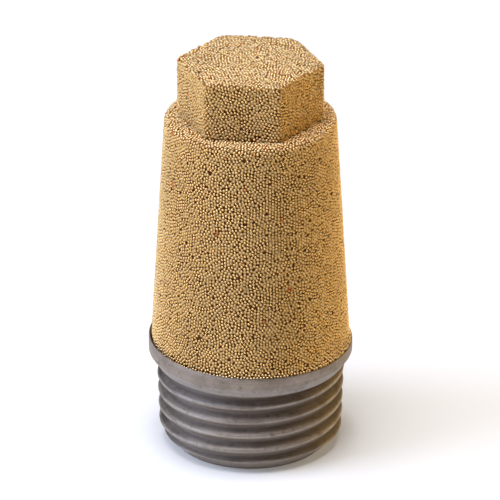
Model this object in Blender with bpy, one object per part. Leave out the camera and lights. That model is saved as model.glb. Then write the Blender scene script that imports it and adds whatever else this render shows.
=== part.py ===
# Pneumatic exhaust muffler: a porous cup of sintered bronze beads with a hexagonal head,
# seated in a steel base with a male taper pipe thread. The open thread end stands on z = 0
# and the axis is +Z. A flat of the hexagon faces -Y.
import math

import bmesh
import bpy

MM = 0.001
SIDES = 60  # segments round every turned surface, a multiple of 6 so that hexagon corners fall on one

# Threaded base: R 1/2 taper thread, 14 turns per inch, 55 degree rounded form
PITCH = 25.4 * MM / 14
GAUGE_RADIUS = 20.955 * MM / 2  # crest radius at the gauge plane
GAUGE_LENGTH = 8.2 * MM  # small end to the gauge plane
RADIUS_TAPER = 1 / 32  # 1:16 on the diameter
FLANK_ANGLE = math.radians(27.5)
ROUNDING = 0.137329  # crest and root radius, in pitches
CREST_HEIGHT = 1.15 * MM  # a crest's middle on the -Y side
THREAD_LENGTH = 9.9 * MM  # small end to the collar
END_FACE_RADIUS = 8.5 * MM  # the 45 degree lead-in chamfer starts here
BORE_RADIUS = 7.0 * MM
BORE_CHAMFER = 0.3 * MM
COLLAR_RADIUS = 11.4 * MM
COLLAR_SIDE_BOTTOM = 11.25 * MM
COLLAR_TOP = 12.3 * MM
COLLAR_EDGE = 0.1 * MM
LIP_THICKNESS = 0.3 * MM
RECESS_DEPTH = 0.8 * MM

# Porous element
FIT_GAP = 0.3 * MM  # clearance to the base, all round and underneath
FOOT_FLARE_RADIUS = 11.35 * MM
FOOT_FLARE_HEIGHT = 0.9 * MM
CONE_BOTTOM_RADIUS = 11.1 * MM
SHOULDER_RADIUS = 9.57 * MM
SHOULDER_HEIGHT = 39.4 * MM
SHOULDER_ROUNDING = 0.6 * MM
HEX_APOTHEM = 7.2 * MM  # half the size across the flats
HEX_CORNER_ROUNDING = 0.5 * MM
HEX_TOP = 46.0 * MM  # middle of the slightly crowned top
CROWN_DROP = 0.2 * MM  # how far the crown falls at a sharp corner
HEX_EDGE_ROUNDING = 0.3 * MM
CAVITY_MOUTH_RADIUS = 8.2 * MM
CAVITY_TOP_RADIUS = 6.7 * MM
CAVITY_DOME_BASE = 34.0 * MM
CAVITY_DOME_HEIGHT = 6.0 * MM


def clear_scene():
    for obj in list(bpy.data.objects):
        bpy.data.objects.remove(obj, do_unlink=True)


def principled(name, color, metallic, roughness):
    material = bpy.data.materials.new(name)
    material.use_nodes = True
    shader = material.node_tree.nodes["Principled BSDF"]
    shader.inputs["Base Color"].default_value = (*color, 1.0)
    shader.inputs["Metallic"].default_value = metallic
    shader.inputs["Roughness"].default_value = roughness
    return material


def around(side):
    """The angle of a side's vertex, anticlockwise seen from above, from the -Y direction."""
    return math.tau * side / SIDES


def place(radius, angle, z):
    return radius * math.sin(angle), -radius * math.cos(angle), z


def turned_ring(bm, radius, z):
    return [bm.verts.new(place(radius, around(s), z)) for s in range(SIDES)]


def skin(bm, rings):
    """Quads between each ring of vertices and the next one."""
    for lower, upper in zip(rings, rings[1:]):
        for s in range(SIDES):
            t = (s + 1) % SIDES
            bm.faces.new((lower[s], lower[t], upper[t], upper[s]))


def cap_with_point(bm, ring, z):
    pole = bm.verts.new((0.0, 0.0, z))
    for s in range(SIDES):
        bm.faces.new((ring[s], ring[(s + 1) % SIDES], pole))


def finished_object(name, bm, material, crease_degrees):
    bmesh.ops.recalc_face_normals(bm, faces=bm.faces)
    mesh = bpy.data.meshes.new(name)
    bm.to_mesh(mesh)
    bm.free()
    mesh.shade_smooth()
    mesh.set_sharp_from_angle(angle=math.radians(crease_degrees))
    mesh.materials.append(material)
    obj = bpy.data.objects.new(name, mesh)
    bpy.context.scene.collection.objects.link(obj)
    return obj


def rounding_reach():
    """Half the width of a rounded crest or root, in pitches."""
    return ROUNDING * math.cos(FLANK_ANGLE)


def thread_depth(turns):
    """Depth below the crest line, in pitches, at a height measured in turns from a crest."""
    reach = rounding_reach()
    flank_start = ROUNDING * (1 - math.sin(FLANK_ANGLE))
    flank_depth = (0.5 - 2 * reach) / math.tan(FLANK_ANGLE)
    from_crest = abs(turns - round(turns))
    from_root = 0.5 - from_crest
    if from_crest <= reach:
        return ROUNDING - math.sqrt(ROUNDING**2 - from_crest**2)
    if from_root <= reach:
        return 2 * flank_start + flank_depth - ROUNDING + math.sqrt(ROUNDING**2 - from_root**2)
    return flank_start + (from_crest - reach) / math.tan(FLANK_ANGLE)


def crest_radius(z):
    return GAUGE_RADIUS + (z - GAUGE_LENGTH) * RADIUS_TAPER


def thread_radius(angle, z):
    turns = (z - CREST_HEIGHT) / PITCH - angle / math.tau
    return min(crest_radius(z) - PITCH * thread_depth(turns), END_FACE_RADIUS + z)


def thread_surface(bm, bottom, top):
    """The helical skin between two rings: one column of vertices per side, each column higher
    than the last by its share of the pitch, so that the crest runs along one row."""
    reach = rounding_reach()
    steps = (0.0, reach, 0.5 - reach, 0.5, 0.5 + reach, 1.0 - reach)
    turns = math.ceil(THREAD_LENGTH / PITCH) + 3
    snap = PITCH / 16
    columns = []
    for s in range(SIDES):
        column = []
        for turn in range(-2, turns):
            for step in steps:
                z = CREST_HEIGHT + PITCH * (turn + step + s / SIDES)
                if z < snap:
                    column.append(bottom[s])
                elif z > THREAD_LENGTH - snap:
                    column.append(top[s])
                else:
                    column.append(bm.verts.new(place(thread_radius(around(s), z), around(s), z)))
        columns.append(column)
    columns.append(columns[0][len(steps):])
    for left, right in zip(columns, columns[1:]):
        for k in range(len(right) - 1):
            corners = dict.fromkeys((left[k], right[k], right[k + 1], left[k + 1]))
            if len(corners) > 2:
                bm.faces.new(tuple(corners))


def make_threaded_base():
    """Thread, collar with a recess and a thin lip for the element, and a bore right through."""
    bm = bmesh.new()
    end_ring = turned_ring(bm, END_FACE_RADIUS, 0.0)
    collar_ring = turned_ring(bm, crest_radius(THREAD_LENGTH), THREAD_LENGTH)
    thread_surface(bm, end_ring, collar_ring)
    recess_radius = COLLAR_RADIUS - LIP_THICKNESS
    floor = COLLAR_TOP - RECESS_DEPTH
    profile = (
        (COLLAR_RADIUS, COLLAR_SIDE_BOTTOM),
        (COLLAR_RADIUS, COLLAR_TOP - COLLAR_EDGE),
        (COLLAR_RADIUS - COLLAR_EDGE, COLLAR_TOP),
        (recess_radius, COLLAR_TOP),
        (recess_radius, floor),
        (BORE_RADIUS + BORE_CHAMFER, floor),
        (BORE_RADIUS, floor - BORE_CHAMFER),
        (BORE_RADIUS, BORE_CHAMFER),
        (BORE_RADIUS + BORE_CHAMFER, 0.0),
    )
    skin(bm, [collar_ring, *(turned_ring(bm, r, z) for r, z in profile), end_ring])
    steel = principled("satin_steel", (0.46, 0.42, 0.40), 1.0, 0.42)
    return finished_object("threaded_base", bm, steel, 35)


def hex_radius(angle):
    """Distance from the axis to the hexagon's outline, with its corners rounded."""
    from_flat = (angle + math.pi / 6) % (math.pi / 3) - math.pi / 6
    straight = HEX_APOTHEM / math.cos(from_flat)
    corner_centre = (HEX_APOTHEM - HEX_CORNER_ROUNDING) / math.cos(math.pi / 6)
    from_corner = math.pi / 6 - abs(from_flat)
    inside = HEX_CORNER_ROUNDING**2 - (corner_centre * math.sin(from_corner)) ** 2
    if inside < 0:
        return straight
    return min(straight, corner_centre * math.cos(from_corner) + math.sqrt(inside))


def crown(radius):
    """Height of the head's top, which falls away towards its corners."""
    corner = HEX_APOTHEM / math.cos(math.pi / 6)
    return HEX_TOP - CROWN_DROP * (radius / corner) ** 4


def hex_ring(bm, share, inset, height):
    """A ring on the hexagon's outline, shrunk by share and inset. Height turns a radius into z."""
    ring = []
    for s in range(SIDES):
        radius = share * hex_radius(around(s)) - inset
        ring.append(bm.verts.new(place(radius, around(s), height(radius))))
    return ring


def head_rings(bm):
    """From the shoulder up the flats, over a rounded edge and in across the crown."""
    rings = [hex_ring(bm, 1.0, 0.0, lambda radius: SHOULDER_HEIGHT)]
    for degrees in (0, 45, 90):
        lift = math.radians(degrees)
        inset = HEX_EDGE_ROUNDING * (1 - math.cos(lift))
        below = HEX_EDGE_ROUNDING * (1 - math.sin(lift))
        rings.append(hex_ring(bm, 1.0, inset, lambda radius, below=below: crown(radius) - below))
    return rings + [hex_ring(bm, share, 0.0, crown) for share in (0.75, 0.4)]


def cavity_rings(bm, mouth):
    """From the blind end down to the mouth: an elliptic dome on a tapered bore."""
    rings = []
    for step in range(1, 5):
        lift = math.pi / 2 * (1 - step / 5)
        radius = CAVITY_TOP_RADIUS * math.cos(lift)
        rings.append(turned_ring(bm, radius, CAVITY_DOME_BASE + CAVITY_DOME_HEIGHT * math.sin(lift)))
    rings.append(turned_ring(bm, CAVITY_TOP_RADIUS, CAVITY_DOME_BASE))
    rings.append(turned_ring(bm, CAVITY_MOUTH_RADIUS, mouth))
    return rings


def outer_rings(bm, mouth):
    """From the foot that sits in the base, up the flared cone, to the rounded shoulder."""
    foot_radius = COLLAR_RADIUS - LIP_THICKNESS - FIT_GAP
    cone_bottom = COLLAR_TOP + FIT_GAP
    profile = [
        (foot_radius, mouth),
        (foot_radius, cone_bottom),
        (FOOT_FLARE_RADIUS, cone_bottom),
        (FOOT_FLARE_RADIUS, cone_bottom + FOOT_FLARE_HEIGHT / 4),
        (CONE_BOTTOM_RADIUS, cone_bottom + FOOT_FLARE_HEIGHT),
    ]
    for degrees in (0, 30, 60, 90):
        lift = math.radians(degrees)
        profile.append((
            SHOULDER_RADIUS - SHOULDER_ROUNDING * (1 - math.cos(lift)),
            SHOULDER_HEIGHT - SHOULDER_ROUNDING * (1 - math.sin(lift)),
        ))
    return [turned_ring(bm, r, z) for r, z in profile]


def make_sintered_element():
    """One moulded cup: foot, tapered body, shoulder and hexagonal head round a blind cavity."""
    bm = bmesh.new()
    mouth = COLLAR_TOP - RECESS_DEPTH + FIT_GAP
    cavity = cavity_rings(bm, mouth)
    head = head_rings(bm)
    skin(bm, [*cavity, *outer_rings(bm, mouth), *head])
    cap_with_point(bm, cavity[0], CAVITY_DOME_BASE + CAVITY_DOME_HEIGHT)
    cap_with_point(bm, head[-1], HEX_TOP)
    bronze = principled("sintered_bronze", (0.66, 0.46, 0.22), 0.8, 0.45)
    return finished_object("sintered_element", bm, bronze, 35)


clear_scene()
make_threaded_base()
make_sintered_element()
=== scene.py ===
import math

import bmesh
import bpy
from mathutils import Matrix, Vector


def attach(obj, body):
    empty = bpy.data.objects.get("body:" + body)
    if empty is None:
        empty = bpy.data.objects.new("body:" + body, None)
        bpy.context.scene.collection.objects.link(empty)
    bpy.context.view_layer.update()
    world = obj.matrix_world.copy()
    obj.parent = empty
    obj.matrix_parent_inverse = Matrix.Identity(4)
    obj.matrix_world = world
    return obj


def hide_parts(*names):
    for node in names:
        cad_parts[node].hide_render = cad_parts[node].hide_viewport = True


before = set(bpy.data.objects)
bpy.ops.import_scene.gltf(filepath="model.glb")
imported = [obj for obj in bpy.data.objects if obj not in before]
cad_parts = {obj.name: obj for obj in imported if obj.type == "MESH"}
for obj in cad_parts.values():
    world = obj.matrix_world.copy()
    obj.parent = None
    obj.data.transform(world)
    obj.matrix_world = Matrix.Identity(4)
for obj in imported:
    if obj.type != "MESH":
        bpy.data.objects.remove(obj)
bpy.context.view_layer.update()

mm = 0.001
fullTurn = math.tau
noiseLow, noiseHigh = 0.3, 0.7  # nearly all of a noise texture's values lie between these


def addNode(tree, kind, inputs=None, **settings):
    node = tree.nodes.new(kind)
    for key, value in settings.items():
        setattr(node, key, value)
    for key, value in (inputs or {}).items():
        if isinstance(value, bpy.types.NodeSocket):
            tree.links.new(value, node.inputs[key])
        else:
            node.inputs[key].default_value = value
    return node


def calc(tree, operation, *values):
    node = addNode(tree, "ShaderNodeMath", dict(enumerate(values)), operation=operation)
    return node.outputs[0]


def vector(tree, operation, *values):
    keys = (0, "Scale") if operation == "SCALE" else (0, 1)
    node = addNode(tree, "ShaderNodeVectorMath", dict(zip(keys, values)), operation=operation)
    return node.outputs["Value" if operation == "LENGTH" else "Vector"]


def newTree(name, kind, inputs, outputs):
    tree = bpy.data.node_groups.new(name, kind)
    for label, socketType, value in inputs:
        socket = tree.interface.new_socket(label, in_out="INPUT", socket_type=socketType)
        if value is not None:
            socket.default_value = value
    for label, socketType in outputs:
        tree.interface.new_socket(label, in_out="OUTPUT", socket_type=socketType)
    return tree, tree.nodes.new("NodeGroupInput").outputs, tree.nodes.new("NodeGroupOutput").inputs


def randomFloat(tree, seed, low, high):
    values = {2: low, 3: high, "Seed": seed}  # the float range is in sockets 2 and 3
    return addNode(tree, "FunctionNodeRandomValue", values, data_type="FLOAT").outputs[1]


def storeValue(tree, geometry, name, dataType, value):
    node = addNode(tree, "GeometryNodeStoreNamedAttribute", {
        "Geometry": geometry, "Name": name, "Value": value}, data_type=dataType, domain="POINT")
    return node.outputs[0]


def finishGeometry(tree, geometry, material, out):
    real = addNode(tree, "GeometryNodeRealizeInstances", {"Geometry": geometry})
    painted = addNode(tree, "GeometryNodeSetMaterial", {"Geometry": real.outputs[0], "Material": material})
    tree.links.new(painted.outputs[0], out)


def applyTree(source, tree, name, **values):
    modifier = source.modifiers.new(tree.name, "NODES")
    modifier.node_group = tree
    for item in tree.interface.items_tree:
        if item.item_type == "SOCKET" and item.in_out == "INPUT" and item.name in values:
            modifier[item.identifier] = values[item.name]
    graph = bpy.context.evaluated_depsgraph_get()
    mesh = bpy.data.meshes.new_from_object(source.evaluated_get(graph))
    source.modifiers.remove(modifier)
    mesh.name = name
    return mesh


def linkObject(name, mesh):
    made = bpy.data.objects.new(name, mesh)
    bpy.context.scene.collection.objects.link(made)
    return made


def makeStainGroup():
    tree, given, out = newTree("stainPatches", "ShaderNodeTree", (
        ("Scale", "NodeSocketFloat", 300.0),
        ("Cover", "NodeSocketFloat", 0.3),
        ("Softness", "NodeSocketFloat", 0.1),
        ("Seed", "NodeSocketFloat", 0.0),
    ), (("Mask", "NodeSocketFloat"),))
    place = addNode(tree, "ShaderNodeTexCoord")
    noise = addNode(tree, "ShaderNodeTexNoise", {
        "Vector": place.outputs["Object"], "W": given["Seed"], "Scale": given["Scale"],
        "Detail": 3.0, "Roughness": 0.55}, noise_dimensions="4D")
    low = calc(tree, "SUBTRACT", 1.0, given["Cover"])
    high = calc(tree, "ADD", low, given["Softness"])
    ramp = addNode(tree, "ShaderNodeMapRange", {
        "Value": noise.outputs[0], "From Min": low, "From Max": high}, interpolation_type="SMOOTHSTEP")
    tree.links.new(ramp.outputs[0], out["Mask"])
    return tree


def makeGrainGroup():
    tree, given, out = newTree("fineGrain", "ShaderNodeTree", (
        ("Scale", "NodeSocketFloat", 4000.0),
        ("Low", "NodeSocketFloat", 0.9),
        ("High", "NodeSocketFloat", 1.1),
    ), (("Value", "NodeSocketFloat"),))
    place = addNode(tree, "ShaderNodeTexCoord")
    noise = addNode(tree, "ShaderNodeTexNoise", {
        "Vector": place.outputs["Object"], "Scale": given["Scale"], "Detail": 4.0})
    ramp = addNode(tree, "ShaderNodeMapRange", {
        "Value": noise.outputs[0], "From Min": noiseLow, "From Max": noiseHigh,
        "To Min": given["Low"], "To Max": given["High"]})
    tree.links.new(ramp.outputs[0], out["Value"])
    return tree


def newMaterial(name):
    material = bpy.data.materials.new(name)
    material.use_nodes = True
    return material, material.node_tree, material.node_tree.nodes["Principled BSDF"]


def placeGroup(tree, group, inputs):
    return addNode(tree, "ShaderNodeGroup", inputs, node_tree=group)


def mixColor(tree, factor, first, second, blend="MIX"):
    sockets = {0: factor, 6: first, 7: second}  # a colour mix keeps its colours in these places
    node = addNode(tree, "ShaderNodeMix", sockets, data_type="RGBA", blend_type=blend)
    return node.outputs[2]


bronzeFinish = {
    "golden": (0.89, 0.53, 0.15, 1.0),
    "pale": (1.0, 0.79, 0.46, 1.0),
    "paleFrom": 0.15,  # painted light: beads turn pale as they face up
    "paleTo": 0.85,
    "toneSpread": 0.16,
    "creviceShade": (0.47, 0.205, 0.03, 1.0),
    "shadeFadeFrom": -0.05,  # share of the way from a bead's middle to its crown
    "shadeFadeTo": 0.85,
    "stain": (0.62, 0.20, 0.045, 1.0),
    "stainShare": 0.8,
    "stainPatches": {"Scale": 600.0, "Cover": 0.335, "Softness": 0.03, "Seed": 2.0},
    "cloudDepth": 0.10,
    "cloudPatches": {"Scale": 140.0, "Cover": 0.55, "Softness": 0.25, "Seed": 4.0},
    "metallic": 1.0,
    "smoothest": 0.20,
    "roughest": 0.32,
    "filmWeight": 0.15,  # thin tarnish
    "filmRoughness": 0.25,
    "filmIndex": 1.6,
}


def makeBeadMaterial(stains):
    material, tree, shader = newMaterial("sinteredBronzeBeads")
    tone = addNode(tree, "ShaderNodeAttribute", attribute_name="tone")
    place = addNode(tree, "ShaderNodeTexCoord")
    facing = addNode(tree, "ShaderNodeSeparateXYZ", {"Vector": place.outputs["Normal"]})
    # painted light: beads are paler where they face up, golden where they face sideways or down
    paintedTopLight = addNode(tree, "ShaderNodeMapRange", {
        "Value": facing.outputs[2],
        "From Min": bronzeFinish["paleFrom"], "From Max": bronzeFinish["paleTo"]})
    color = mixColor(tree, paintedTopLight.outputs[0], bronzeFinish["golden"], bronzeFinish["pale"])
    single = addNode(tree, "ShaderNodeMapRange", {
        "Value": tone.outputs["Fac"], "To Min": 1.0 - bronzeFinish["toneSpread"], "To Max": 1.0})
    color = mixColor(tree, 1.0, color, single.outputs[0], "MULTIPLY")
    # painted shade: a bead's flanks darken to brown towards the crevices, while its crown keeps its colour
    crownShare = addNode(tree, "ShaderNodeAttribute", attribute_name="crownShare")
    unshadedShare = addNode(tree, "ShaderNodeMapRange", {
        "Value": crownShare.outputs["Fac"], "From Min": bronzeFinish["shadeFadeFrom"],
        "From Max": bronzeFinish["shadeFadeTo"]}, interpolation_type="SMOOTHSTEP")
    color = mixColor(tree, unshadedShare.outputs[0], bronzeFinish["creviceShade"], color)
    # soft darker clouds, then a few small reddish stains
    cloud = placeGroup(tree, stains, bronzeFinish["cloudPatches"])
    shade = addNode(tree, "ShaderNodeMapRange", {
        "Value": cloud.outputs["Mask"], "To Min": 1.0, "To Max": 1.0 - bronzeFinish["cloudDepth"]})
    color = mixColor(tree, 1.0, color, shade.outputs[0], "MULTIPLY")
    spots = placeGroup(tree, stains, bronzeFinish["stainPatches"])
    share = calc(tree, "MULTIPLY", spots.outputs["Mask"], bronzeFinish["stainShare"])
    color = mixColor(tree, share, color, bronzeFinish["stain"])
    tree.links.new(color, shader.inputs["Base Color"])
    rough = addNode(tree, "ShaderNodeMapRange", {
        "Value": tone.outputs["Fac"], "To Min": bronzeFinish["smoothest"],
        "To Max": bronzeFinish["roughest"]})
    tree.links.new(rough.outputs[0], shader.inputs["Roughness"])
    shader.inputs["Metallic"].default_value = bronzeFinish["metallic"]
    shader.inputs["Coat Weight"].default_value = bronzeFinish["filmWeight"]
    shader.inputs["Coat Roughness"].default_value = bronzeFinish["filmRoughness"]
    shader.inputs["Coat IOR"].default_value = bronzeFinish["filmIndex"]
    return material


# what shows in the gaps between the beads, painted dark brown as the shade deep among the beads
coreFinish = {
    "bead": (0.34, 0.12, 0.014, 1.0),
    "pore": (0.15, 0.05, 0.006, 1.0),
    "crownAt": 0.15,  # cell distances of a buried bead's crown and of its rim
    "rimAt": 0.62,
    "grain": {"Scale": 5000.0, "Low": 0.85, "High": 1.15},
    "bumpHeight": 0.12 * mm,
    "bumpStrength": 0.8,
    "roughness": 0.6,
    "metallic": 0.5,
}


def makeCoreMaterial(grain):
    material, tree, shader = newMaterial("sinteredBronzeDepth")
    place = addNode(tree, "ShaderNodeTexCoord")
    cells = addNode(tree, "ShaderNodeTexVoronoi", {
        "Vector": place.outputs["Object"], "Scale": 1 / beads["diameter"]})
    # painted shade: darker towards the rim of each buried bead
    dome = addNode(tree, "ShaderNodeMapRange", {
        "Value": cells.outputs["Distance"], "From Min": coreFinish["crownAt"],
        "From Max": coreFinish["rimAt"], "To Min": 1.0, "To Max": 0.0}, interpolation_type="SMOOTHSTEP")
    fine = placeGroup(tree, grain, coreFinish["grain"])
    share = calc(tree, "MULTIPLY", dome.outputs[0], fine.outputs["Value"])
    color = mixColor(tree, share, coreFinish["pore"], coreFinish["bead"])
    tree.links.new(color, shader.inputs["Base Color"])
    bump = addNode(tree, "ShaderNodeBump", {
        "Height": dome.outputs[0], "Distance": coreFinish["bumpHeight"],
        "Strength": coreFinish["bumpStrength"]})
    tree.links.new(bump.outputs[0], shader.inputs["Normal"])
    shader.inputs["Roughness"].default_value = coreFinish["roughness"]
    shader.inputs["Metallic"].default_value = coreFinish["metallic"]
    return material


steelFinish = {
    "color": (0.355, 0.298, 0.25, 1.0),
    "bright": (0.42, 0.362, 0.31, 1.0),
    "chamfer": (0.39, 0.352, 0.325, 1.0),
    "chamferBlend": 0.1 * mm,
    # one colour for real dirt and specks, and for the painted shade on the thread
    "dirtAndShade": (0.205, 0.165, 0.135, 1.0),
    "dirtShare": 0.42,
    "dirtPatches": {"Scale": 420.0, "Cover": 0.50, "Softness": 0.12, "Seed": 7.0},
    "speckShare": 0.6,
    "speckPatches": {"Scale": 1300.0, "Cover": 0.40, "Softness": 0.06, "Seed": 1.0},
    "grain": {"Scale": 3000.0, "Low": 0.92, "High": 1.08},
    "lineSpacing": 0.09 * mm,  # turning marks
    "lineLength": 60.0,  # their noise scale across the axis, so a small one makes long marks
    "lineDark": 0.78,
    "lineBright": 1.16,
    "lineDepth": 0.02 * mm,
    "lineStrength": 0.35,
    "rootDirtAndShade": 0.85,
    "shadeUnder": -0.5,  # full painted shade where the thread faces down this much
    "rootDirtAndShadeFrom": 0.5,  # dirt and painted shade darken the thread below this share of the crest height
    "rootDirtAndShadeFull": 0.1,
    "rootDirtAndShadeDullsMetal": 0.9,
    "smoothest": 0.56,
    "roughest": 0.70,
}


def makeSteelMaterial(stains, grain):
    material, tree, shader = newMaterial("turnedSteel")
    place = addNode(tree, "ShaderNodeTexCoord")
    parts = addNode(tree, "ShaderNodeSeparateXYZ", {"Vector": place.outputs["Object"]})
    # turning marks: noise that hardly changes around and changes quickly along the axis
    across = steelFinish["lineLength"]
    stretched = addNode(tree, "ShaderNodeMapping", {
        "Vector": place.outputs["Object"], "Scale": (across, across, 1 / steelFinish["lineSpacing"])})
    lines = addNode(tree, "ShaderNodeTexNoise", {
        "Vector": stretched.outputs[0], "Scale": 1.0, "Detail": 3.0})
    crest = addNode(tree, "ShaderNodeAttribute", attribute_name="crest")
    mottle = placeGroup(tree, stains, steelFinish["dirtPatches"])
    spots = placeGroup(tree, stains, steelFinish["speckPatches"])
    fine = placeGroup(tree, grain, steelFinish["grain"])
    # lighter towards the crests, partly crest wear and partly painted light
    color = mixColor(tree, crest.outputs["Fac"], steelFinish["color"], steelFinish["bright"])
    # painted light: the chamfer under the collar is lighter than the rest
    blend = steelFinish["chamferBlend"]
    low = addNode(tree, "ShaderNodeMapRange", {
        "Value": parts.outputs[2],
        "From Min": base["threadLength"], "From Max": base["threadLength"] + blend})
    high = addNode(tree, "ShaderNodeMapRange", {
        "Value": parts.outputs[2], "From Min": base["collarSideBottom"] - blend / 2,
        "From Max": base["collarSideBottom"] + blend / 2, "To Min": 1.0, "To Max": 0.0})
    onChamfer = calc(tree, "MULTIPLY", low.outputs[0], high.outputs[0])
    color = mixColor(tree, onChamfer, color, steelFinish["chamfer"])
    # painted shade darkens whatever faces down on the thread, and dirt with painted shade darkens its
    # roots
    facing = addNode(tree, "ShaderNodeSeparateXYZ", {"Vector": place.outputs["Normal"]})
    underShade = addNode(tree, "ShaderNodeMapRange", {
        "Value": facing.outputs[2], "From Min": 0.0, "From Max": steelFinish["shadeUnder"]})
    root = addNode(tree, "ShaderNodeMapRange", {
        "Value": crest.outputs["Fac"],
        "From Min": steelFinish["rootDirtAndShadeFrom"], "From Max": steelFinish["rootDirtAndShadeFull"]})
    onThread = calc(tree, "LESS_THAN", parts.outputs[2], base["threadLength"])
    hidden = calc(tree, "MAXIMUM", underShade.outputs[0], root.outputs[0])
    rootDirtAndShadeMask = calc(tree, "MULTIPLY", calc(tree, "MULTIPLY", hidden, onThread), steelFinish["rootDirtAndShade"])
    color = mixColor(tree, rootDirtAndShadeMask, color, steelFinish["dirtAndShade"])
    dirty = calc(tree, "MULTIPLY", mottle.outputs["Mask"], steelFinish["dirtShare"])
    color = mixColor(tree, dirty, color, steelFinish["dirtAndShade"])
    speck = calc(tree, "MULTIPLY", spots.outputs["Mask"], steelFinish["speckShare"])
    color = mixColor(tree, speck, color, steelFinish["dirtAndShade"])
    streak = addNode(tree, "ShaderNodeMapRange", {
        "Value": lines.outputs[0], "From Min": noiseLow, "From Max": noiseHigh,
        "To Min": steelFinish["lineDark"], "To Max": steelFinish["lineBright"]})
    level = calc(tree, "MULTIPLY", streak.outputs[0], fine.outputs["Value"])
    color = mixColor(tree, 1.0, color, level, "MULTIPLY")
    tree.links.new(color, shader.inputs["Base Color"])
    rough = addNode(tree, "ShaderNodeMapRange", {
        "Value": lines.outputs[0], "From Min": noiseLow, "From Max": noiseHigh,
        "To Min": steelFinish["smoothest"], "To Max": steelFinish["roughest"]})
    tree.links.new(rough.outputs[0], shader.inputs["Roughness"])
    bump = addNode(tree, "ShaderNodeBump", {
        "Height": lines.outputs[0], "Distance": steelFinish["lineDepth"],
        "Strength": steelFinish["lineStrength"]})
    tree.links.new(bump.outputs[0], shader.inputs["Normal"])
    # the metal turns dull where the root dirt and painted shade lie
    bare = calc(tree, "SUBTRACT", 1.0, calc(tree, "MULTIPLY", rootDirtAndShadeMask, steelFinish["rootDirtAndShadeDullsMetal"]))
    tree.links.new(bare, shader.inputs["Metallic"])
    return material


# outline of the sintered element: cone, rounded shoulder, hexagonal head and blind cavity
element = {
    "sides": 180,
    "cavitySides": 96,
    "hexApothem": 7.2 * mm,
    "hexCorner": 0.6 * mm,
    "hexBackCorner": 2.4 * mm,  # the two corners at the back are more worn
    "hexTop": 46.0 * mm,
    "hexEdge": 0.3 * mm,
    "crownDrop": 0.12 * mm,  # how much lower the top is at a corner
    "crownCurve": 4,
    "shoulderRadius": 9.57 * mm,
    "shoulderHeight": 39.4 * mm,
    "shoulderRounding": 0.6 * mm,
    "coneRadius": 11.1 * mm,
    "footTop": 12.6 * mm,
    "footRadius": 10.8 * mm,
    "flareHeight": 0.9 * mm,
    "flare": 0.25 * mm,  # the foot bulges over the collar on one side
    "flareSide": math.radians(70),  # from the front towards the right
    "flareNarrowing": 1.5,
    "mouthHeight": 11.8 * mm,
    "cavityMouth": 8.2 * mm,
    "cavityTop": 6.7 * mm,
    "domeBase": 34.0 * mm,
    "domeHeight": 6.0 * mm,
    "domeSteps": 8,
    "leastCorner": 0.05 * mm,  # what is left of a rounding on a body set well below the surface
    "leastEdge": 0.04 * mm,
}


# angle 0 is the front, and angles grow towards the right
def polar(radius, angle, z):
    return radius * math.sin(angle), -radius * math.cos(angle), z


def ringOf(bm, sides, radiusAt, heightAt):
    ring = []
    for side in range(sides):
        angle = fullTurn * side / sides
        radius = radiusAt(angle) if callable(radiusAt) else radiusAt
        z = heightAt(angle, radius) if callable(heightAt) else heightAt
        ring.append(bm.verts.new(polar(radius, angle, z)))
    return ring


def bridge(bm, rings):
    for lower, upper in zip(rings, rings[1:]):
        for side in range(len(lower)):
            after = (side + 1) % len(lower)
            bm.faces.new((lower[side], lower[after], upper[after], upper[side]))


def capRing(bm, ring, z):
    pole = bm.verts.new((0.0, 0.0, z))
    for side in range(len(ring)):
        bm.faces.new((ring[side], ring[(side + 1) % len(ring)], pole))


def meshOf(name, bm):
    bmesh.ops.recalc_face_normals(bm, faces=bm.faces)
    mesh = bpy.data.meshes.new(name)
    bm.to_mesh(mesh)
    bm.free()
    return mesh


# from the axis to the side of the hexagon, round its corners too
def hexRadius(angle, inset):
    apothem = element["hexApothem"] - inset
    sixth = math.pi / 6
    atBack = math.cos(angle) < -0.5  # more than 120 degrees round from the front
    rounding = element["hexBackCorner"] if atBack else element["hexCorner"]
    corner = max(rounding - inset, element["leastCorner"])
    fromFlat = (angle + sixth) % (2 * sixth) - sixth
    straight = apothem / math.cos(fromFlat)
    if abs(fromFlat) < math.atan((apothem - corner) * math.tan(sixth) / apothem):
        return straight
    centre = (apothem - corner) / math.cos(sixth)
    fromCorner = sixth - abs(fromFlat)
    return centre * math.cos(fromCorner) + math.sqrt(corner**2 - (centre * math.sin(fromCorner)) ** 2)


def crownHeight(radius, inset):
    corner = element["hexApothem"] / math.cos(math.pi / 6)
    return element["hexTop"] - inset - element["crownDrop"] * (radius / corner) ** element["crownCurve"]


def flareRadius(angle):
    towards = 0.5 + 0.5 * math.cos(angle - element["flareSide"])
    return element["coneRadius"] + element["flare"] * towards ** element["flareNarrowing"]


def headRings(bm, sides, inset):
    rings = [ringOf(bm, sides, lambda a: hexRadius(a, inset), element["shoulderHeight"] - inset)]
    edge = max(element["hexEdge"] - inset, element["leastEdge"])
    for degrees in (0, 30, 60, 90):
        lift = math.radians(degrees)
        back = edge * (1 - math.cos(lift))
        below = edge * (1 - math.sin(lift))
        rings.append(ringOf(
            bm, sides, lambda a, back=back: hexRadius(a, inset) - back,
            lambda a, r, below=below: crownHeight(r, inset) - below))
    for share in (0.8, 0.55, 0.3, 0.1):
        rings.append(ringOf(
            bm, sides, lambda a, share=share: share * hexRadius(a, inset),
            lambda a, r: crownHeight(r, inset)))
    return rings


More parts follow.
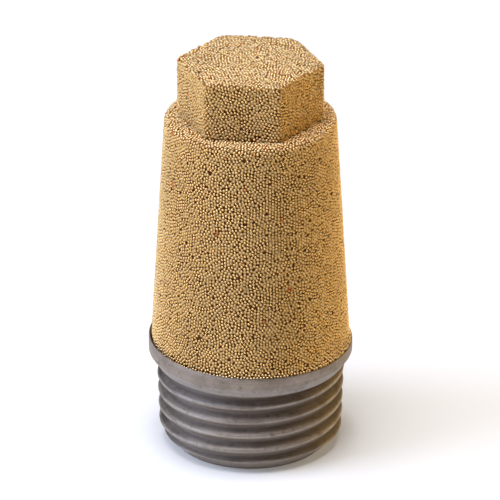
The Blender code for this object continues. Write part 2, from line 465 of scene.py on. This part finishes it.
def coneRings(bm, sides, inset, start):
    top = element["flareHeight"] + element["footTop"]
    rings = []
    for share in (0.0, 0.25, 0.6, 1.0):
        z = start + (top - start) * share
        ease = (1 - share) ** 2
        rings.append(ringOf(bm, sides, lambda a, ease=ease: (
            element["coneRadius"] + (flareRadius(a) - element["coneRadius"]) * ease - inset), z))
    for degrees in (0, 22.5, 45, 67.5, 90):
        lift = math.radians(degrees)
        turn = element["shoulderRounding"] - inset
        rings.append(ringOf(
            bm, sides, element["shoulderRadius"] - element["shoulderRounding"] + turn * math.cos(lift),
            element["shoulderHeight"] - element["shoulderRounding"] + turn * math.sin(lift)))
    return rings


def cavityRings(bm, sides, outset, mouth):
    rings = []
    for step in range(1, element["domeSteps"]):
        lift = math.pi / 2 * (1 - step / element["domeSteps"])
        rings.append(ringOf(
            bm, sides, (element["cavityTop"] + outset) * math.cos(lift),
            element["domeBase"] + (element["domeHeight"] + outset) * math.sin(lift)))
    rings.append(ringOf(bm, sides, element["cavityTop"] + outset, element["domeBase"]))
    rings.append(ringOf(bm, sides, element["cavityMouth"] + outset, mouth))
    return rings


# bead layer: what the whole surface is made of
beads = {
    "diameter": 0.398 * mm,
    "spacing": 0.38 * mm,  # a little under the diameter, because sintered beads fuse where they touch
    "startDistance": 0.269 * mm,  # beads start this close and then push each other apart
    "startDensity": 60e6,  # per square metre, more than fit
    "rounds": 110,
    "missingShare": 0.0008,
    "sizeSpread": 0.05,
    "unevenness": 0.045 * mm,  # how far a bead may sit below its neighbours
    "topUnevenness": 0.1 * mm,  # the same on faces that look up, which no mould wall smoothed
    "topFrom": 0.3,  # a face counts as looking up between these heights of its normal
    "topTo": 0.8,
    "footHeight": 12.49 * mm,  # first row of bead centres, just above the collar
    "rings": 4,
    "outerSegments": 8,
    "outerSectors": 6,
    "outerSeed": 3,
    "cavitySegments": 6,
    "cavitySectors": 3,
    "cavitySeed": 4,
    "missingSeed": 11,
    "unevenSeed": 14,
    "sizeSeed": 5,
    "toneSeed": 8,
    "spinSeed": 3,
}


def makePackingTree():
    tree, given, out = newTree("beadPacking", "GeometryNodeTree", (
        ("Geometry", "NodeSocketGeometry", None),
        ("Spacing", "NodeSocketFloat", beads["spacing"]),
        ("Start Distance", "NodeSocketFloat", beads["startDistance"]),
        ("Rounds", "NodeSocketInt", beads["rounds"]),
        ("Missing Share", "NodeSocketFloat", beads["missingShare"]),
        ("Size Spread", "NodeSocketFloat", beads["sizeSpread"]),
        ("Unevenness", "NodeSocketFloat", beads["unevenness"]),
        ("Top Unevenness", "NodeSocketFloat", beads["topUnevenness"]),
        ("Seed", "NodeSocketInt", beads["outerSeed"]),
        ("Material", "NodeSocketMaterial", None),
    ), (("Geometry", "NodeSocketGeometry"),))
    scatter = addNode(tree, "GeometryNodeDistributePointsOnFaces", {
        "Mesh": given["Geometry"], "Distance Min": given["Start Distance"],
        "Density Max": beads["startDensity"], "Seed": given["Seed"]}, distribute_method="POISSON")
    # every round pushes a bead half of its overlap away from its nearest neighbour,
    # then back onto the skin
    first = tree.nodes.new("GeometryNodeRepeatInput")
    last = tree.nodes.new("GeometryNodeRepeatOutput")
    first.pair_with_output(last)
    tree.links.new(given["Rounds"], first.inputs["Iterations"])
    tree.links.new(scatter.outputs["Points"], first.inputs["Geometry"])
    position = tree.nodes.new("GeometryNodeInputPosition").outputs[0]
    nearest = tree.nodes.new("GeometryNodeIndexOfNearest").outputs["Index"]
    other = addNode(tree, "GeometryNodeFieldAtIndex", {
        "Value": position, "Index": nearest}, data_type="FLOAT_VECTOR")
    away = vector(tree, "SUBTRACT", position, other.outputs[0])
    overlap = calc(tree, "SUBTRACT", given["Spacing"], vector(tree, "LENGTH", away))
    push = calc(tree, "MULTIPLY", calc(tree, "MAXIMUM", overlap, 0.0), 0.5)
    moved = vector(tree, "ADD", position, vector(tree, "SCALE", vector(tree, "NORMALIZE", away), push))
    landed = addNode(tree, "GeometryNodeProximity", {
        0: given["Geometry"], "Sample Position": moved}, target_element="FACES")
    settled = addNode(tree, "GeometryNodeSetPosition", {
        "Geometry": first.outputs["Geometry"], "Position": landed.outputs["Position"]})
    tree.links.new(settled.outputs[0], last.inputs["Geometry"])
    # a few beads are missing, and the others differ a little in height, size and tone
    lost = addNode(tree, "FunctionNodeRandomValue", {
        "Probability": given["Missing Share"], "Seed": beads["missingSeed"]}, data_type="BOOLEAN")
    kept = addNode(tree, "GeometryNodeDeleteGeometry", {
        "Geometry": last.outputs["Geometry"], "Selection": lost.outputs[3]}, domain="POINT")
    geometry = addNode(tree, "GeometryNodePointsToVertices", {"Points": kept.outputs[0]}).outputs[0]
    normal = tree.nodes.new("GeometryNodeInputNormal").outputs[0]
    settledAt = tree.nodes.new("GeometryNodeInputPosition").outputs[0]
    facing = addNode(tree, "GeometryNodeSampleNearestSurface", {
        "Mesh": given["Geometry"], "Value": normal, "Sample Position": settledAt},
        data_type="FLOAT_VECTOR")
    geometry = storeValue(tree, geometry, "outward", "FLOAT_VECTOR", facing.outputs[0])
    lookUp = addNode(tree, "ShaderNodeSeparateXYZ", {"Vector": facing.outputs[0]})
    depth = addNode(tree, "ShaderNodeMapRange", {
        "Value": lookUp.outputs[2], "From Min": beads["topFrom"], "From Max": beads["topTo"],
        "To Min": given["Unevenness"], "To Max": given["Top Unevenness"]})
    sunk = randomFloat(tree, beads["unevenSeed"], 0.0, depth.outputs[0])
    shift = vector(tree, "SCALE", facing.outputs[0], calc(tree, "MULTIPLY", sunk, -1.0))
    geometry = addNode(tree, "GeometryNodeSetPosition", {"Geometry": geometry, "Offset": shift}).outputs[0]
    smallest = calc(tree, "SUBTRACT", 1.0, given["Size Spread"])
    size = randomFloat(tree, beads["sizeSeed"], smallest, 1.0)
    geometry = storeValue(tree, geometry, "beadScale", "FLOAT", size)
    tone = randomFloat(tree, beads["toneSeed"], 0.0, 1.0)
    geometry = storeValue(tree, geometry, "tone", "FLOAT", tone)
    finishGeometry(tree, geometry, given["Material"], out[0])
    return tree


def makeBeadTree():
    tree, given, out = newTree("sinteredBeads", "GeometryNodeTree", (
        ("Geometry", "NodeSocketGeometry", None),
        ("Bead Diameter", "NodeSocketFloat", beads["diameter"]),
        ("Segments", "NodeSocketInt", beads["outerSegments"]),
        ("Rings", "NodeSocketInt", beads["rings"]),
        ("Sector", "NodeSocketInt", 0),
        ("Sectors", "NodeSocketInt", beads["outerSectors"]),
        ("Seed", "NodeSocketInt", beads["spinSeed"]),
        ("Material", "NodeSocketMaterial", None),
    ), (("Geometry", "NodeSocketGeometry"),))
    # keep the centres of one sector, so that no piece gets too heavy
    position = tree.nodes.new("GeometryNodeInputPosition").outputs[0]
    parts = addNode(tree, "ShaderNodeSeparateXYZ", {"Vector": position})
    turn = calc(tree, "DIVIDE", calc(tree, "ARCTAN2", parts.outputs[1], parts.outputs[0]), fullTurn)
    turn = calc(tree, "FRACT", calc(tree, "ADD", turn, 1.0))
    sector = calc(tree, "FLOOR", calc(tree, "MULTIPLY", turn, given["Sectors"]))
    inSector = calc(tree, "COMPARE", sector, given["Sector"], 0.5)
    kept = addNode(tree, "GeometryNodeSeparateGeometry", {
        "Geometry": given["Geometry"], "Selection": inSector}, domain="POINT")
    radius = calc(tree, "MULTIPLY", given["Bead Diameter"], 0.5)
    ball = addNode(tree, "GeometryNodeMeshUVSphere", {
        "Segments": given["Segments"], "Rings": given["Rings"], "Radius": radius})
    local = addNode(tree, "ShaderNodeSeparateXYZ", {
        "Vector": tree.nodes.new("GeometryNodeInputPosition").outputs[0]})
    ballMesh = storeValue(tree, ball.outputs["Mesh"], "crownShare", "FLOAT", calc(
        tree, "DIVIDE", local.outputs[2], radius))
    # every bead stands on the skin with its crown outwards
    outward = addNode(tree, "GeometryNodeInputNamedAttribute", {
        "Name": "outward"}, data_type="FLOAT_VECTOR")
    scale = addNode(tree, "GeometryNodeInputNamedAttribute", {"Name": "beadScale"}, data_type="FLOAT")
    upright = addNode(tree, "FunctionNodeAlignRotationToVector", {"Vector": outward.outputs[0]}, axis="Z")
    spin = randomFloat(tree, given["Seed"], 0.0, fullTurn)
    about = addNode(tree, "FunctionNodeAxisAngleToRotation", {"Axis": (0.0, 0.0, 1.0), "Angle": spin})
    turned = addNode(tree, "FunctionNodeRotateRotation", {
        "Rotation": upright.outputs[0], "Rotate By": about.outputs[0]}, rotation_space="LOCAL")
    placed = addNode(tree, "GeometryNodeInstanceOnPoints", {
        "Points": kept.outputs["Selection"], "Instance": ballMesh,
        "Rotation": turned.outputs[0], "Scale": scale.outputs[0]})
    real = addNode(tree, "GeometryNodeRealizeInstances", {"Geometry": placed.outputs[0]})
    geometry = real.outputs[0]
    for spare in ("outward", "beadScale"):
        geometry = addNode(tree, "GeometryNodeRemoveAttribute", {
            "Geometry": geometry, "Name": spare}).outputs[0]
    smooth = addNode(tree, "GeometryNodeSetShadeSmooth", {"Geometry": geometry})
    finishGeometry(tree, smooth.outputs[0], given["Material"], out[0])
    return tree


def makeBeads(layer, skin, material, packing, balls):
    sectors = beads[layer + "Sectors"]
    skinObject = linkObject(layer + "BeadsSkin", skin)
    centres = linkObject(layer + "BeadsCentres", applyTree(
        skinObject, packing, layer + "BeadsCentres", Seed=beads[layer + "Seed"], Material=material))
    bpy.data.objects.remove(skinObject)
    made = []
    for sector in range(sectors):
        name = f"{layer}Beads{sector + 1}"
        mesh = applyTree(centres, balls, name, Sector=sector, Sectors=sectors,
                         Segments=beads[layer + "Segments"], Material=material)
        made.append(linkObject(name, mesh))
    print(layer, "beads:", len(centres.data.vertices))
    bpy.data.objects.remove(centres)
    return made


def makeOuterSkin():
    bm = bmesh.new()
    inset = beads["diameter"] / 2
    rings = coneRings(bm, element["sides"], inset, beads["footHeight"])
    rings += headRings(bm, element["sides"], inset)
    bridge(bm, rings)
    capRing(bm, rings[-1], element["hexTop"] - inset)
    return meshOf("outerSkin", bm)


def makeCavitySkin():
    bm = bmesh.new()
    outset = beads["diameter"] / 2
    rings = cavityRings(bm, element["cavitySides"], outset, element["mouthHeight"] + outset)
    bridge(bm, rings)
    capRing(bm, rings[0], element["domeBase"] + element["domeHeight"] + outset)
    mesh = meshOf("cavitySkin", bm)
    mesh.flip_normals()
    return mesh


# closed body under the beads, from the foot to the head and round the cavity
core = {
    "inset": 0.30 * mm,
    "rimHeight": 12.36 * mm,  # where the pressed foot ends, just above the collar
    "coneStart": 12.4 * mm,
    "sharpAngle": math.radians(40),
}


def makeCore(material):
    bm = bmesh.new()
    inset = core["inset"]
    sides = element["sides"]
    cavity = cavityRings(bm, sides, inset, element["mouthHeight"])
    foot = [
        ringOf(bm, sides, element["footRadius"], element["mouthHeight"]),
        ringOf(bm, sides, element["footRadius"], core["rimHeight"]),
    ]
    cone = coneRings(bm, sides, inset, core["coneStart"])
    head = headRings(bm, sides, inset)
    bridge(bm, [*cavity, *foot, *cone, *head])
    capRing(bm, cavity[0], element["domeBase"] + element["domeHeight"] + inset)
    capRing(bm, head[-1], element["hexTop"] - inset)
    mesh = meshOf("elementCore", bm)
    mesh.shade_smooth()
    mesh.set_sharp_from_angle(angle=core["sharpAngle"])
    mesh.materials.append(material)
    return linkObject("elementCore", mesh)


# male taper pipe thread, collar, lip and bore
base = {
    "sides": 240,
    "rowsPerPitch": 20,
    "pitch": 25.4 * mm / 14,
    "gaugeRadius": 20.955 * mm / 2,
    "gaugeLength": 8.2 * mm,
    "taper": 1 / 32,
    "flankAngle": math.radians(27.5),
    "rounding": 0.165,  # share of the pitch
    "crestHeight": 1.15 * mm,  # of the lowest crest at the front
    "threadLength": 9.9 * mm,
    "endRadius": 8.5 * mm,
    "boreRadius": 7.0 * mm,
    "boreChamfer": 0.3 * mm,
    "collarRadius": 11.4 * mm,
    "collarSideBottom": 11.14 * mm,
    "collarEaseIn": 0.06 * mm,  # the chamfer turns into the side over these two lengths
    "collarEaseUp": 0.04 * mm,
    "collarTop": 12.3 * mm,
    "collarEdge": 0.12 * mm,
    "recessRadius": 11.1 * mm,
    "recessFloor": 11.5 * mm,
    "lipRise": 0.28 * mm,  # how far the lip is drawn up round the element, on average
    "lipSide": math.radians(-90),  # where it stands highest
    "wear": 0.07 * mm,  # what a nick takes off a crest
    "nickScale": 14.0,
    "nickFrom": 0.60,
    "nickTo": 0.72,
    "waveScale": 4.0,
    "waveShare": 0.5,
    "crestOnly": 3.0,  # keeps the wear near the crests
    "mergeDistance": 0.002 * mm,
    "sharpAngle": math.radians(35),
}


def makeThreadTree():
    tree, given, out = newTree("taperPipeThread", "GeometryNodeTree", (
        ("Geometry", "NodeSocketGeometry", None),
        ("Sides", "NodeSocketInt", base["sides"]),
        ("Rows Per Pitch", "NodeSocketInt", base["rowsPerPitch"]),
        ("Pitch", "NodeSocketFloat", base["pitch"]),
        ("Gauge Radius", "NodeSocketFloat", base["gaugeRadius"]),
        ("Gauge Length", "NodeSocketFloat", base["gaugeLength"]),
        ("Radius Taper", "NodeSocketFloat", base["taper"]),
        ("Flank Angle", "NodeSocketFloat", base["flankAngle"]),
        ("Rounding", "NodeSocketFloat", base["rounding"]),
        ("Crest Height", "NodeSocketFloat", base["crestHeight"]),
        ("Thread Length", "NodeSocketFloat", base["threadLength"]),
        ("End Radius", "NodeSocketFloat", base["endRadius"]),
        ("Wear", "NodeSocketFloat", base["wear"]),
        ("Material", "NodeSocketMaterial", None),
    ), (("Geometry", "NodeSocketGeometry"),))
    pitch = given["Pitch"]
    turns = calc(tree, "CEIL", calc(tree, "DIVIDE", given["Thread Length"], pitch))
    rows = calc(tree, "MULTIPLY", calc(tree, "ADD", turns, 2.0), given["Rows Per Pitch"])
    rows = calc(tree, "ADD", rows, 1.0)
    grid = addNode(tree, "GeometryNodeMeshGrid", {
        "Vertices X": calc(tree, "ADD", given["Sides"], 1.0), "Vertices Y": rows})
    index = tree.nodes.new("GeometryNodeInputIndex").outputs[0]
    column = calc(tree, "FLOOR", calc(tree, "DIVIDE", calc(tree, "ADD", index, 0.5), rows))
    row = calc(tree, "SUBTRACT", index, calc(tree, "MULTIPLY", column, rows))
    aroundShare = calc(tree, "DIVIDE", column, given["Sides"])
    angle = calc(tree, "MULTIPLY", aroundShare, fullTurn)
    # a column climbs by its share of the pitch, so a row follows the helix
    steps = calc(tree, "DIVIDE", row, given["Rows Per Pitch"])
    lift = calc(tree, "SUBTRACT", calc(tree, "ADD", steps, aroundShare), 2.0)
    freeHeight = calc(tree, "ADD", calc(tree, "MULTIPLY", lift, pitch), given["Crest Height"])
    height = calc(tree, "MINIMUM", calc(tree, "MAXIMUM", freeHeight, 0.0), given["Thread Length"])
    local = calc(tree, "DIVIDE", calc(tree, "SUBTRACT", height, given["Crest Height"]), pitch)
    local = calc(tree, "SUBTRACT", local, aroundShare)
    fromCrest = calc(tree, "ABSOLUTE", calc(tree, "SUBTRACT", local, calc(tree, "ROUND", local)))
    fromRoot = calc(tree, "SUBTRACT", 0.5, fromCrest)
    # rounded crest, straight flank, rounded root
    rounding = given["Rounding"]
    reach = calc(tree, "MULTIPLY", rounding, calc(tree, "COSINE", given["Flank Angle"]))
    slope = calc(tree, "TANGENT", given["Flank Angle"])
    flankStart = calc(tree, "MULTIPLY", rounding, calc(
        tree, "SUBTRACT", 1.0, calc(tree, "SINE", given["Flank Angle"])))
    flankDepth = calc(tree, "DIVIDE", calc(
        tree, "SUBTRACT", 0.5, calc(tree, "MULTIPLY", reach, 2.0)), slope)

    # how far the rounding's arc stands out at this distance from its middle
    def arc(distance):
        squares = calc(tree, "SUBTRACT", calc(tree, "MULTIPLY", rounding, rounding),
                       calc(tree, "MULTIPLY", distance, distance))
        return calc(tree, "SQRT", calc(tree, "MAXIMUM", squares, 0.0))

    crestArc = calc(tree, "SUBTRACT", rounding, arc(fromCrest))
    whole = calc(tree, "ADD", calc(tree, "MULTIPLY", flankStart, 2.0), flankDepth)
    rootArc = calc(tree, "ADD", calc(tree, "SUBTRACT", whole, rounding), arc(fromRoot))
    flank = calc(tree, "ADD", flankStart, calc(
        tree, "DIVIDE", calc(tree, "SUBTRACT", fromCrest, reach), slope))
    isCrest = calc(tree, "LESS_THAN", fromCrest, reach)
    isRoot = calc(tree, "LESS_THAN", fromRoot, reach)

    def choose(test, yes, no):
        node = addNode(tree, "ShaderNodeMix", {0: test, 2: no, 3: yes}, data_type="FLOAT")
        return node.outputs[0]

    depth = choose(isCrest, crestArc, choose(isRoot, rootArc, flank))
    crestShare = addNode(tree, "ShaderNodeMapRange", {
        "Value": depth, "From Min": 0.0, "From Max": whole, "To Min": 1.0, "To Max": 0.0}).outputs[0]
    # the die ran out just under the collar
    atEnd = calc(tree, "GREATER_THAN", freeHeight, given["Thread Length"])
    depth = choose(atEnd, 0.0, depth)
    crestRadius = calc(tree, "ADD", given["Gauge Radius"], calc(
        tree, "MULTIPLY", calc(tree, "SUBTRACT", height, given["Gauge Length"]), given["Radius Taper"]))
    radius = calc(tree, "SUBTRACT", crestRadius, calc(tree, "MULTIPLY", depth, pitch))
    # nicks and uneven crests
    spot = addNode(tree, "ShaderNodeCombineXYZ", {
        "X": calc(tree, "SINE", angle), "Y": calc(tree, "COSINE", angle),
        "Z": calc(tree, "DIVIDE", height, given["Gauge Radius"])}).outputs[0]
    nick = addNode(tree, "ShaderNodeTexNoise", {
        "Vector": spot, "Scale": base["nickScale"], "Detail": 2.0}).outputs[0]
    nick = addNode(tree, "ShaderNodeMapRange", {
        "Value": nick, "From Min": base["nickFrom"], "From Max": base["nickTo"]},
        interpolation_type="SMOOTHSTEP").outputs[0]
    wave = addNode(tree, "ShaderNodeTexNoise", {
        "Vector": spot, "Scale": base["waveScale"], "Detail": 1.0}).outputs[0]
    loss = calc(tree, "ADD", nick, calc(tree, "MULTIPLY", wave, base["waveShare"]))
    onCrest = calc(tree, "POWER", crestShare, base["crestOnly"])
    loss = calc(tree, "MULTIPLY", calc(tree, "MULTIPLY", loss, onCrest), given["Wear"])
    inside = calc(tree, "MULTIPLY", calc(tree, "GREATER_THAN", height, 0.0), calc(
        tree, "LESS_THAN", height, given["Thread Length"]))
    radius = calc(tree, "SUBTRACT", radius, calc(tree, "MULTIPLY", loss, inside))
    radius = calc(tree, "MINIMUM", radius, calc(tree, "ADD", given["End Radius"], height))
    place = addNode(tree, "ShaderNodeCombineXYZ", {
        "X": calc(tree, "MULTIPLY", radius, calc(tree, "SINE", angle)),
        "Y": calc(tree, "MULTIPLY", radius, calc(tree, "MULTIPLY", calc(tree, "COSINE", angle), -1.0)),
        "Z": height})
    geometry = storeValue(tree, grid.outputs["Mesh"], "crest", "FLOAT", crestShare)
    shaped = addNode(tree, "GeometryNodeSetPosition", {"Geometry": geometry, "Position": place.outputs[0]})
    joined = tree.nodes.new("GeometryNodeJoinGeometry")
    tree.links.new(shaped.outputs[0], joined.inputs[0])
    tree.links.new(given["Geometry"], joined.inputs[0])
    merged = addNode(tree, "GeometryNodeMergeByDistance", {
        "Geometry": joined.outputs[0], "Distance": base["mergeDistance"]})
    finishGeometry(tree, merged.outputs[0], given["Material"], out[0])
    return tree


def lipRise(angle):
    return base["lipRise"] * (1 + math.cos(angle - base["lipSide"]))


def makeBase(material, tree):
    bm = bmesh.new()
    sides = base["sides"]
    crestAtCollar = base["gaugeRadius"] + (base["threadLength"] - base["gaugeLength"]) * base["taper"]
    outer, edge, top = base["collarRadius"], base["collarEdge"], base["collarTop"]
    bore, chamfer, floor = base["boreRadius"], base["boreChamfer"], base["recessFloor"]
    easeIn, easeUp = base["collarEaseIn"], base["collarEaseUp"]
    # chamfer, side, rounded lip, recess and bore; the thread closes the profile
    rings = [
        ringOf(bm, sides, crestAtCollar, base["threadLength"]),
        ringOf(bm, sides, outer - easeIn, base["collarSideBottom"] - easeIn),
        ringOf(bm, sides, outer, base["collarSideBottom"] + easeUp),
        ringOf(bm, sides, outer, top - edge),
        ringOf(bm, sides, outer - edge * 0.1, lambda a, r: top - edge * 0.5 + lipRise(a) * 0.9),
        ringOf(bm, sides, outer - edge * 0.5, lambda a, r: top + lipRise(a)),
        ringOf(bm, sides, outer - edge * 1.1, lambda a, r: top + lipRise(a) - edge * 0.1),
        ringOf(bm, sides, base["recessRadius"], lambda a, r: top - edge + lipRise(a) * 0.5),
        ringOf(bm, sides, base["recessRadius"], floor),
        ringOf(bm, sides, bore + chamfer, floor),
        ringOf(bm, sides, bore, floor - chamfer),
        ringOf(bm, sides, bore, chamfer),
        ringOf(bm, sides, bore + chamfer, 0.0),
        ringOf(bm, sides, base["endRadius"], 0.0),
    ]
    bridge(bm, rings)
    turned = linkObject("turnedBlank", meshOf("turnedBlank", bm))
    mesh = applyTree(turned, tree, "threadedBase", Material=material)
    bpy.data.objects.remove(turned)
    bm = bmesh.new()
    bm.from_mesh(mesh)
    bmesh.ops.recalc_face_normals(bm, faces=bm.faces)
    bm.to_mesh(mesh)
    bm.free()
    mesh.shade_smooth()
    mesh.set_sharp_from_angle(angle=base["sharpAngle"])
    return linkObject("threadedBase", mesh)


print("materials")
stains = makeStainGroup()
grain = makeGrainGroup()
beadMaterial = makeBeadMaterial(stains)
coreMaterial = makeCoreMaterial(grain)
steelMaterial = makeSteelMaterial(stains, grain)

print("threaded base")
basePiece = makeBase(steelMaterial, makeThreadTree())
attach(basePiece, "root")
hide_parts("threaded_base")

print("element core")
corePiece = makeCore(coreMaterial)
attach(corePiece, "root")
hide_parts("sintered_element")

print("bead layer")
packing = makePackingTree()
balls = makeBeadTree()
beadPieces = makeBeads("outer", makeOuterSkin(), beadMaterial, packing, balls)
beadPieces += makeBeads("cavity", makeCavitySkin(), beadMaterial, packing, balls)
for piece in beadPieces:
    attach(piece, "root")


studio = {
    "aim": (-0.06 * mm, 0.0, 22.95 * mm),
    "distance": 606 * mm,
    "azimuth": 7.2,
    "elevation": 25.2,
    "lens": 392.7,
    "floorSize": 6.0,
    "floorColor": (0.9, 0.9, 0.9, 1.0),
    "floorRoughness": 0.9,
    "floorGlow": 0.14,
    "fadeStart": 0.06,  # metres from the middle of the floor
    "fadeEnd": 0.35,
    "lightAim": (0.0, 0.0, 23 * mm),
    "ambient": 0.074,
    "ambientColor": (1.0, 0.78, 0.50, 1.0),
    "white": (1.0, 1.0, 1.0, 1.0),
}


def makeFloor():
    bm = bmesh.new()
    bmesh.ops.create_grid(bm, x_segments=1, y_segments=1, size=studio["floorSize"])
    floor = linkObject("studioFloor", meshOf("studioFloor", bm))
    material, tree, shader = newMaterial("paleFloor")
    shader.inputs["Base Color"].default_value = studio["floorColor"]
    shader.inputs["Roughness"].default_value = studio["floorRoughness"]
    shader.inputs["Emission Color"].default_value = studio["white"]
    # the floor fades to white away from the object, for the eye only
    place = addNode(tree, "ShaderNodeTexCoord")
    far = addNode(tree, "ShaderNodeMapRange", {
        "Value": vector(tree, "LENGTH", place.outputs["Object"]),
        "From Min": studio["fadeStart"], "From Max": studio["fadeEnd"]}, interpolation_type="SMOOTHSTEP")
    seen = addNode(tree, "ShaderNodeLightPath").outputs["Is Camera Ray"]
    glow = calc(tree, "ADD", calc(tree, "MULTIPLY", far.outputs[0], seen), studio["floorGlow"])
    tree.links.new(glow, shader.inputs["Emission Strength"])
    floor.data.materials.append(material)


def directionTo(azimuth, elevation):
    azimuth, elevation = math.radians(azimuth), math.radians(elevation)
    return Vector((math.sin(azimuth) * math.cos(elevation),
                   -math.cos(azimuth) * math.cos(elevation), math.sin(elevation)))


def makeCamera():
    back = directionTo(studio["azimuth"], studio["elevation"])
    data = bpy.data.cameras.new("camera")
    data.lens = studio["lens"]
    data.sensor_width = 36
    data.clip_start = 0.01
    data.clip_end = 50
    camera = linkObject("camera", data)
    camera.location = Vector(studio["aim"]) + back * studio["distance"]
    camera.rotation_mode = "QUATERNION"
    camera.rotation_quaternion = (-back).to_track_quat("-Z", "Y")
    bpy.context.scene.camera = camera


softLights = {
    # name: azimuth, elevation, distance, width, height, watts, color
    "leftSoftbox": (-70, 25, 0.45, 0.30, 0.36, 1.2, (0.87, 1.06, 1.48)),
    "topSoftbox": (-30, 82, 0.5, 0.32, 0.32, 2.4, (0.98, 0.98, 1.02)),
    "rightCard": (118, 12, 0.4, 0.22, 0.26, 0.52, (1.0, 0.68, 0.2)),
}


def makeLights():
    for name, (azimuth, elevation, distance, width, height, watts, color) in softLights.items():
        away = directionTo(azimuth, elevation)
        data = bpy.data.lights.new(name, "AREA")
        data.shape = "RECTANGLE"
        data.size = width
        data.size_y = height
        data.energy = watts
        data.color = color
        light = linkObject(name, data)
        light.location = Vector(studio["lightAim"]) + away * distance
        light.rotation_mode = "QUATERNION"
        light.rotation_quaternion = (-away).to_track_quat("-Z", "Y")


def makeWorld():
    world = bpy.data.worlds.new("studio")
    world.use_nodes = True
    tree = world.node_tree
    sky = tree.nodes["Background"]
    # plain white behind the object, and a dim warm fill for the light itself
    seen = addNode(tree, "ShaderNodeLightPath").outputs["Is Camera Ray"]
    tree.links.new(mixColor(tree, seen, studio["ambientColor"], studio["white"]), sky.inputs["Color"])
    tree.links.new(calc(tree, "ADD", seen, studio["ambient"]), sky.inputs["Strength"])
    bpy.context.scene.world = world
    bpy.context.scene.view_settings.view_transform = "Standard"


print("floor, camera and light")
makeFloor()
makeCamera()
makeLights()
makeWorld()
